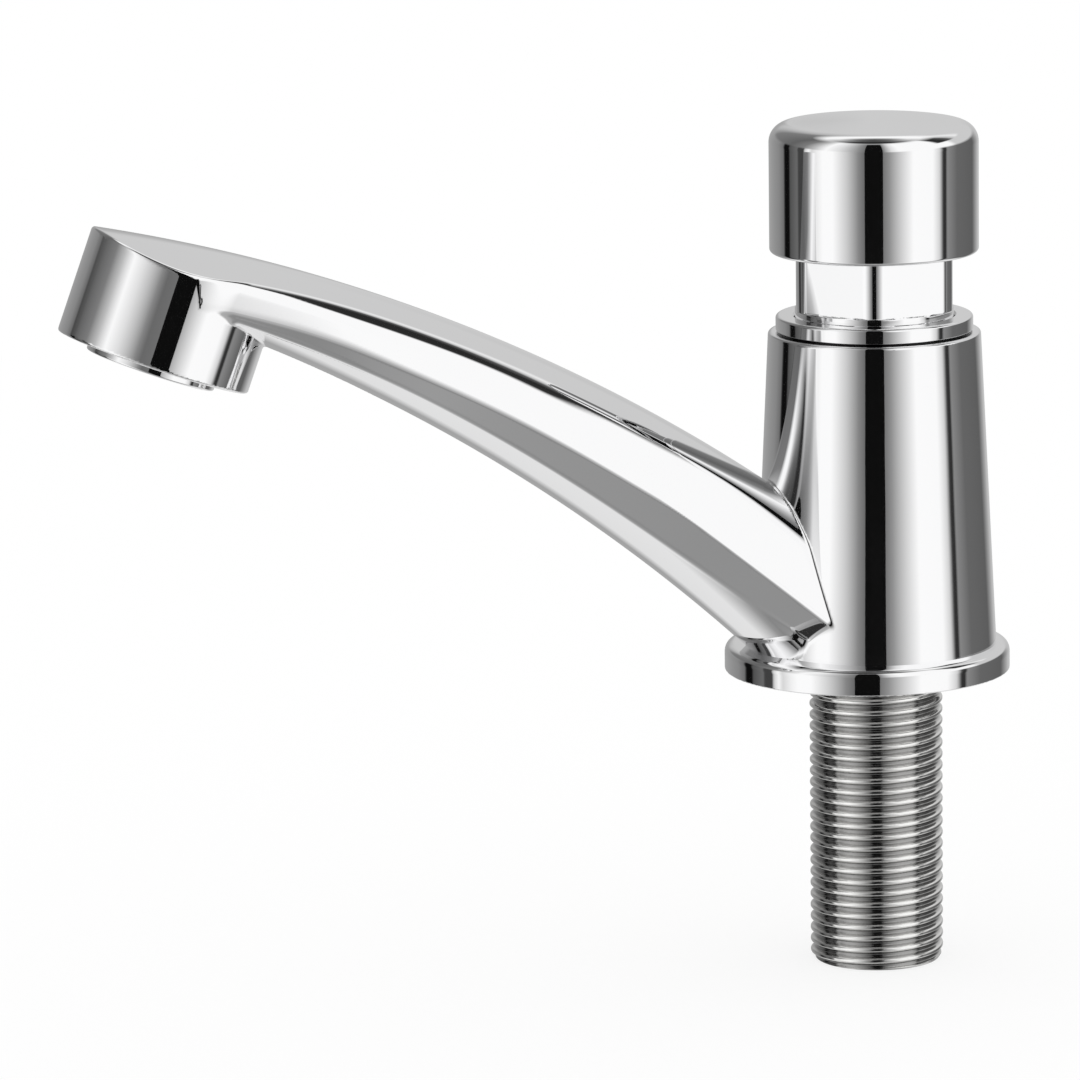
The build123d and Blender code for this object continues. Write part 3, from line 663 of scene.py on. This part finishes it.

# painted shade: the shank's colour darker towards the roots of its thread and inward of them
thread_root, thread_flank = thread_radius - thread_depth, thread_radius - 0.3 * thread_depth
paint_shade_inward(nickel, root=thread_root, crest=thread_flank, level=0.4)
# painted shade: the ring's colour nearly black inward of its lip and below the top of the shadow line,
# for the shade in the gap under the lip
gap_shade_inner, gap_shade_outer = ring_lip_radius - 0.2, ring_lip_radius - 0.05
paint_shade_inward(ring_chrome_painted_shade, root=gap_shade_inner, crest=gap_shade_outer, level=0.02, top=ring_line_top + 0.05)

by_slot = {
    "chrome": turned_chrome,
    "nickel_brass": nickel,
    "brass": brass,
    "stainless": stainless,
    "rubber": rubber,
    "white_plastic": plastic,
}
slot_of = {part["node"]: part["material_slot"] for part in frame["record"]["subparts"]}
for node, slot in slot_of.items():
    materials = frame["nodes"][node].data.materials
    materials.clear()
    materials.append(by_slot[slot])


# Visible pieces, finer than the frame's and with their edges rounded

def flange(x, y, z):
    """Base flange, set off towards the spout, with the groove for its gasket."""
    plate = soft_max(np.hypot(x, y + flange_offset) - flange_radius, z - body_foot, flange_edge_radius)
    radius = np.hypot(x, y)
    inner_radius, outer_radius, depth = gasket_groove
    groove = np.maximum(np.maximum(inner_radius - radius, radius - outer_radius), z - depth)
    openings = np.minimum(radius - flange_bore_radius, groove)
    return np.maximum(soft_max(plate, -z, small_radius), -openings)


def neck(x, y, z):
    """Hexagonal bush with round corners, on a round foot."""
    along, across = math.cos(neck_flat_heading), math.sin(neck_flat_heading)
    out = np.abs(x * along + y * across)
    side = np.abs(y * along - x * across)
    inner = neck_flat_radius - neck_corner_radius
    fold = 2 * np.minimum(-math.sqrt(0.75) * side + out / 2, 0)
    side, out = side + fold * math.sqrt(0.75), out - fold / 2
    side = side - np.clip(side, -inner / math.sqrt(3), inner / math.sqrt(3))
    hexagon = np.hypot(side, out - inner) * np.sign(out - inner) - neck_corner_radius
    foot_level, shoulder_level, top_level = neck_levels
    head = soft_max(hexagon, z - top_level, neck_edge_radius)
    head = soft_max(head, shoulder_level - z, neck_shoulder_radius)
    foot = np.maximum(np.hypot(x, y) - neck_radius, np.maximum(foot_level - z, z - shoulder_level))
    bush = soft_min(head, foot, neck_corner_fill)
    return soft_max(bush, neck_bore_radius - np.hypot(x, y), neck_bore_edge_radius)


def thread(radius, level, angles, slope_out, slope_up):
    """Radius and normal of the shank's helix, where a row lies on the thread."""

    def form(level, angles):
        """Radius of the helix, within the chamfer of the shank's end."""
        # a crest and a root flatter than those of a plain cosine
        wave = np.cos(2 * np.pi * (level / thread_pitch - angles / (2 * np.pi)))
        crest = thread_radius - thread_depth * (0.5 - 0.75 * wave + 0.25 * wave**3)
        chamfer = shank_end_radius + (level - shank_foot) * shank_chamfer_slope
        return soft_min(crest, chamfer, small_radius)

    chamfered = (level < shank_foot + shank_chamfer_height) & (radius > shank_end_radius)
    on = (radius > thread_radius - touch) | chamfered
    step = 0.01
    along = (form(level + step, angles) - form(level - step, angles)) / (2 * step)
    around = (form(level, angles + step) - form(level, angles - step)) / (2 * step * thread_radius)
    size = np.sqrt(1 + along**2 + around**2)
    return (
        np.where(on, form(level, angles), radius),
        np.where(on, 1 / size, slope_out),
        np.where(on, -around / size, 0),
        np.where(on, -along / size, slope_up),
    )


def threaded_shank():
    """Inlet shank with its helix, its chamfered end and the recess for the strainer."""
    rows = round((-thread_runout - shank_foot) / thread_row)
    low, high = shank_foot + thread_row_margin, -thread_runout - thread_row_margin
    levels = [low + (high - low) * row / rows for row in range(rows + 1)]
    outline = [
        (shank_bore_radius, strainer_level),
        (strainer_radius, strainer_level),
        (strainer_radius, shank_foot),
        (shank_end_radius - shank_end_inset, shank_foot, shank_end_rounding),
        *((thread_radius, level, 0) for level in levels),
        (spigot_radius, -thread_runout),
        (spigot_radius, shank_top),
        (shank_bore_radius, shank_top),
    ]
    return spun("shank", outline, nickel, ["inlet_shank"], steps=216, cut=thread)


def ring():
    """Screwed ring over the body, with the groove for its seal and the shadow line under its lip, which
    painted shade in its material darkens.
    """
    groove_radius, groove_foot, groove_top = ring_groove
    outline = [
        (ring_bore_radius, ring_foot),
        (ring_thread_radius, ring_foot),
        (ring_thread_radius, groove_foot),
        (groove_radius, groove_foot),
        (groove_radius, groove_top),
        (ring_thread_radius, groove_top),
        (ring_thread_radius, body_top),
        (ring_line_radius, body_top),
        (ring_line_radius, ring_line_top),
        (ring_lip_radius, ring_line_top, fine_radius),
        (ring_lip_radius, ring_top, ring_edge_radius),
        (ring_bore_radius + ring_chamfer, ring_top, fine_radius),
        (ring_bore_radius, ring_top - ring_chamfer, fine_radius),
    ]
    return spun("ring", outline, ring_chrome_painted_shade, ["bonnet_ring"])


def cap():
    """Push cap with its boss, its rounded shoulder and its slightly raised top."""
    flat = cap_radius - cap_edge_radius
    crown = [flat * share / cap_crown_rows for share in range(cap_crown_rows - 1, 0, -1)]
    outline = [
        (0, cap_hole_top),
        (cap_hole_radius, cap_hole_top),
        (cap_hole_radius, cap_boss_foot),
        (cap_boss_radius, cap_boss_foot),
        (cap_boss_radius, cap_roof, cap_inner_rounding),
        (cap_inner_radius, cap_roof, cap_inner_rounding),
        (cap_inner_radius, cap_foot, cap_rim_inner_rounding),
        (cap_radius, cap_foot, cap_rim_rounding),
        (cap_radius, cap_top, cap_edge_radius),
    ]
    outline += [(r, cap_top + cap_crown * (1 - (r / flat) ** 2) ** 2, 0) for r in crown]
    outline.append((0, cap_top + cap_crown))
    return spun("cap", outline, turned_chrome, ["push_cap"], body="button", steps=360)


def aerator():
    """Aerator's ring, which stands a little way out of the head."""
    outline = [
        (aerator_mouth_radius, aerator_foot, small_radius),
        (aerator_lip_radius, aerator_foot, aerator_lip_rounding),
        (aerator_lip_radius, aerator_lip_top),
        (aerator_thread_radius, aerator_lip_top),
        (aerator_thread_radius, aerator_top),
        (aerator_bore_radius, aerator_top),
        (aerator_bore_radius, aerator_ledge),
        (aerator_mouth_radius, aerator_ledge),
    ]
    face = Matrix.Translation((0, -spout_reach * MM, outlet_height * MM))
    tilted = face @ Matrix.Rotation(-outlet_tilt, 4, "X")
    return spun("aerator", outline, turned_chrome, ["aerator_housing"], place=tilted)


def spring():
    """Return spring, one coil of wire."""
    steps, sides = round(spring_turn_steps * spring_turns), spring_sides
    length = piston_foot - spring_foot
    climb = (length - 2 * spring_wire_radius) / spring_turns
    angle = (2 * np.pi * spring_turns * np.arange(steps + 1) / steps)[:, None]
    level = spring_foot + spring_wire_radius + climb * angle / (2 * np.pi)
    out = np.concatenate([np.cos(angle), np.sin(angle), 0 * angle], 1)
    slope = 0 * angle + climb / (2 * np.pi * spring_radius)
    along = np.concatenate([-np.sin(angle), np.cos(angle), slope], 1)
    along /= np.linalg.norm(along, axis=1)[:, None]
    up = np.cross(along, out)
    around = 2 * np.pi * np.arange(sides) / sides
    normals = out[:, None] * np.cos(around)[:, None] + up[:, None] * np.sin(around)[:, None]
    centres = spring_radius * out
    centres[:, 2:] = level
    points = (centres[:, None] + spring_wire_radius * normals).reshape(-1, 3)
    grid = np.meshgrid(np.arange(steps), np.arange(sides), indexing="ij")
    step, side = (axis.ravel() for axis in grid)
    onward = (side + 1) % sides
    corners = (step, side), (step, onward), (step + 1, onward), (step + 1, side)
    faces = np.stack([a * sides + b for a, b in corners], 1).tolist()
    wire_end = list(range(sides))
    faces += [wire_end[::-1], [steps * sides + place for place in wire_end]]
    slot = slot_of["return_spring"]
    made = piece("spring", points, faces, by_slot[slot], ["return_spring"], normals.reshape(-1, 3))
    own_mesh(made)


blob("body", cast_body, *body_box, body_cell, cast_chrome, ["tap_body"], "chrome")
blob("flange", flange, *flange_box, flange_cell, turned_chrome, ["base_flange"], "chrome")
blob("neck", neck, *neck_box, neck_cell, turned_chrome, ["neck_bush"], "chrome")
threaded_shank()
ring()
cap()
aerator()
spring()


# Studio

camera_heading = math.radians(70)  # of the photo's camera, about Z
camera_turn = math.radians(20)  # from +X to the camera, towards the outlet
camera_place = (-2.2, -1075.1, 233.5)  # before it is turned to its heading
camera_pitch, camera_yaw, camera_roll = -0.1955, 0.0469, -0.0138  # in radians
focal_share = 6976.6 / 1080  # of the picture's width
sensor_width = 36.0
floor_gap = 0.05
floor_shade, floor_glow = 0.22, 0.78
card_shade = 0.004

# Floor and card, in metres
floor_radius = 0.6
card_distance = 0.545
card_half_width, card_foot, card_top = 0.095, -0.3, 0.9


def studio():
    """World: white for the camera and for matt surfaces, and soft boxes with dark gaps for mirrors."""
    world = bpy.data.worlds.new("studio")
    world.use_nodes = True
    bpy.context.scene.world = world
    tree = world.node_tree
    tree.nodes.clear()
    place = add(tree, "ShaderNodeTexCoord")
    turn = add(tree, "ShaderNodeMapping", vector_type="VECTOR")
    # +X of the turned direction points at the photo's camera
    turn.inputs["Rotation"].default_value = (0, 0, camera_turn)
    tree.links.new(place.outputs["Generated"], turn.inputs["Vector"])
    split = add(tree, "ShaderNodeSeparateXYZ")
    tree.links.new(turn.outputs["Vector"], split.inputs["Vector"])

    def maths(operation, first, second=None, third=None):
        """Result of one operation on sockets or numbers."""
        node = add(tree, "ShaderNodeMath", operation=operation)
        for socket, value in zip(node.inputs, (first, second, third)):
            if value is None:
                continue
            if isinstance(value, (int, float)):
                socket.default_value = value
            else:
                tree.links.new(value, socket)
        return node.outputs[0]

    x, y, z = split.outputs
    azimuth = maths("ARCTAN2", y, x)
    # 0.5 towards the camera, rising to its right
    around = maths("MULTIPLY_ADD", azimuth, 0.5 / math.pi, 0.5)
    flat = maths("SQRT", maths("ADD", maths("MULTIPLY", x, x), maths("MULTIPLY", y, y)))
    # 0 down, 0.5 level, 1 up
    elevation = maths("MULTIPLY_ADD", maths("ARCTAN2", z, flat), 1 / math.pi, 0.5)

    def stops(pairs):
        """Stops round the tap from (degrees, level) pairs."""
        return [(0.5 + degrees / 360, level) for degrees, level in pairs]

    def rises(pairs):
        """Stops from below to above from (degrees, level) pairs."""
        return [(0.5 + degrees / 180, level) for degrees, level in pairs]

    ring = ramp(tree, around, stops([
        (-180, 0.60), (-176, 0.40), (-128, 0.24), (-118, 0.16), (-115, 0.004), (-107, 0.004),
        (-105, 0.08), (-93, 0.14), (-91, 0.05), (-83, 0.05), (-81, 0.62), (-76, 0.93),
        (-72, 0.68), (-64, 0.88), (-58, 0.98), (-46, 0.98), (-30, 0.60), (-17, 0.24),
        (-10, 0.14), (10, 0.17), (17, 0.28), (30, 0.62), (44, 0.98), (68, 0.97), (77, 0.66),
        (82, 0.03), (86, 0.03), (88, 0.24), (104, 0.13), (138, 0.11), (160, 0.50),
        (180, 0.60),
    ]))
    middle = ramp(tree, around, stops([
        (-180, 0.60), (-165, 0.45), (-150, 0.20), (-105, 0.12), (-85, 0.20), (-70, 0.50),
        (-55, 0.97), (-40, 0.75), (-17, 0.26), (-10, 0.16), (10, 0.17), (20, 0.75),
        (28, 0.97), (98, 0.97), (106, 0.60), (146, 0.60), (180, 0.60),
    ]))
    upper = ramp(tree, around, stops([
        (-180, 0.60), (-165, 0.45), (-150, 0.20), (-105, 0.12), (-85, 0.20), (-70, 0.50),
        (-55, 0.97), (-40, 0.75), (-17, 0.26), (-10, 0.16), (10, 0.17), (20, 0.75),
        (28, 0.97), (80, 0.97), (87, 0.03), (98, 0.02), (112, 0.10), (120, 0.55),
        (132, 0.85), (146, 0.60), (180, 0.60),
    ]))
    # above and below the soft boxes, on the camera's side and behind
    front = ramp(tree, elevation, rises([
        (-90, 0.40), (-72, 0.30), (-66, 0.24), (-58, 0.27), (-50, 0.38), (-36, 0.45),
        (-28, 1.0), (55, 0.9), (66, 0.03), (82, 0.015), (90, 0.05),
    ]))
    # 1 on the camera's side and 0 behind, with a soft change
    is_front = maths("SMOOTH_MIN", maths("MAXIMUM", maths("MULTIPLY_ADD", x, 2.0, 0.5), 0.0), 1.0, 0.1)
    back = ramp(tree, elevation, rises([
        (-90, 0.80), (-40, 0.75), (-10, 0.7), (5, 0.55), (25, 0.60), (45, 0.97), (70, 0.97),
        (80, 0.3), (90, 0.05),
    ]))
    tall = ramp(tree, elevation, rises([
        (-90, 0.0), (-40, 0.0), (-30, 1.0), (56, 1.0), (66, 0.0), (90, 0.0),
    ]))
    low = ramp(tree, elevation, rises([
        (-90, 0.0), (-40, 0.0), (-30, 1.0), (52, 1.0), (62, 0.0), (90, 0.0),
    ]))

    def blend(share, first, second):
        """The first level where the share is 0, and the second where it is 1."""
        node = add(tree, "ShaderNodeMix", data_type="FLOAT")
        for socket, value in zip(("Factor", "A", "B"), (share, first, second)):
            if isinstance(value, (int, float)):
                node.inputs[socket].default_value = value
            else:
                tree.links.new(value, node.inputs[socket])
        return node.outputs["Result"]

    sky = blend(is_front, back, front)
    band = blend(is_front, low, tall)
    above = ramp(tree, elevation, rises([(-90, 0.0), (8, 0.0), (14, 1.0), (90, 1.0)]))
    high = ramp(tree, elevation, rises([(-90, 0.0), (31, 0.0), (34, 1.0), (90, 1.0)]))
    mirror = blend(band, sky, blend(above, ring, blend(high, middle, upper)))
    rays = add(tree, "ShaderNodeLightPath")
    shown = blend(rays.outputs["Is Glossy Ray"], 1.0, mirror)
    output = add(tree, "ShaderNodeOutputWorld")
    glow = add(tree, "ShaderNodeBackground", Strength=1.0)
    tree.links.new(shown, glow.inputs["Color"])
    tree.links.new(glow.outputs["Background"], output.inputs["Surface"])


def floor():
    """Pale floor under the shank's end. It is white to the camera and keeps the object's shadow."""
    mesh = bmesh.new()
    bmesh.ops.create_circle(mesh, cap_ends=True, segments=96, radius=floor_radius)
    data = bpy.data.meshes.new("floor")
    mesh.to_mesh(data)
    mesh.free()
    ground = bpy.data.objects.new("floor", data)
    bpy.context.scene.collection.objects.link(ground)
    ground.location = (0, 0, (shank_foot - floor_gap) * MM)
    material, tree, shader = new_material("floor")
    tree.nodes.remove(shader)
    matt = add(tree, "ShaderNodeBsdfDiffuse", Color=(floor_shade, floor_shade, floor_shade, 1))
    glow = add(tree, "ShaderNodeEmission", Color=(1, 1, 1, 1), Strength=floor_glow)
    both = add(tree, "ShaderNodeAddShader")
    clear = add(tree, "ShaderNodeBsdfTransparent")
    rays = add(tree, "ShaderNodeLightPath")
    choose = add(tree, "ShaderNodeMixShader")
    tree.links.new(matt.outputs[0], both.inputs[0])
    tree.links.new(glow.outputs[0], both.inputs[1])
    tree.links.new(rays.outputs["Is Glossy Ray"], choose.inputs["Fac"])
    tree.links.new(both.outputs[0], choose.inputs[1])
    tree.links.new(clear.outputs[0], choose.inputs[2])
    tree.links.new(choose.outputs[0], tree.nodes["Material Output"].inputs["Surface"])
    ground.data.materials.append(material)


def card():
    """Tall black card in front of the tap, seen only as the dark stripe in its mirrors."""
    half, low, high = card_half_width, card_foot, card_top
    data = bpy.data.meshes.new("card")
    corners = [(0, -half, low), (0, half, low), (0, half, high), (0, -half, high)]
    data.from_pydata(corners, [], [(0, 1, 2, 3)])
    screen = bpy.data.objects.new("card", data)
    bpy.context.scene.collection.objects.link(screen)
    heading = camera_heading - math.pi / 2
    screen.location = (card_distance * math.cos(heading), card_distance * math.sin(heading), 0)
    screen.rotation_euler = (0, 0, heading)
    material, tree, shader = new_material("card")
    shader.inputs["Base Color"].default_value = (card_shade, card_shade, card_shade, 1)
    shader.inputs["Roughness"].default_value = 1.0
    shader.inputs["Specular IOR Level"].default_value = 0.0
    data.materials.append(material)
    for kind in ("camera", "diffuse", "shadow", "transmission", "volume_scatter"):
        setattr(screen, "visible_" + kind, False)


def camera():
    """The photo's camera, worked out from the tap's round edges."""
    data = bpy.data.cameras.new("camera")
    data.sensor_width = sensor_width
    data.lens = sensor_width * focal_share
    data.clip_end = 20.0
    view = bpy.data.objects.new("camera", data)
    bpy.context.scene.collection.objects.link(view)
    place = Vector(camera_place) * MM
    place.rotate(Euler((0, 0, camera_heading)))
    look = Euler((math.pi / 2 + camera_pitch, 0, camera_yaw + camera_heading)).to_matrix()
    look = look @ Matrix.Rotation(camera_roll, 3, "Z")
    view.matrix_world = Matrix.Translation(place) @ look.to_4x4()
    bpy.context.scene.camera = view


studio()
floor()
card()
camera()
bpy.context.scene.view_settings.view_transform = "Standard"
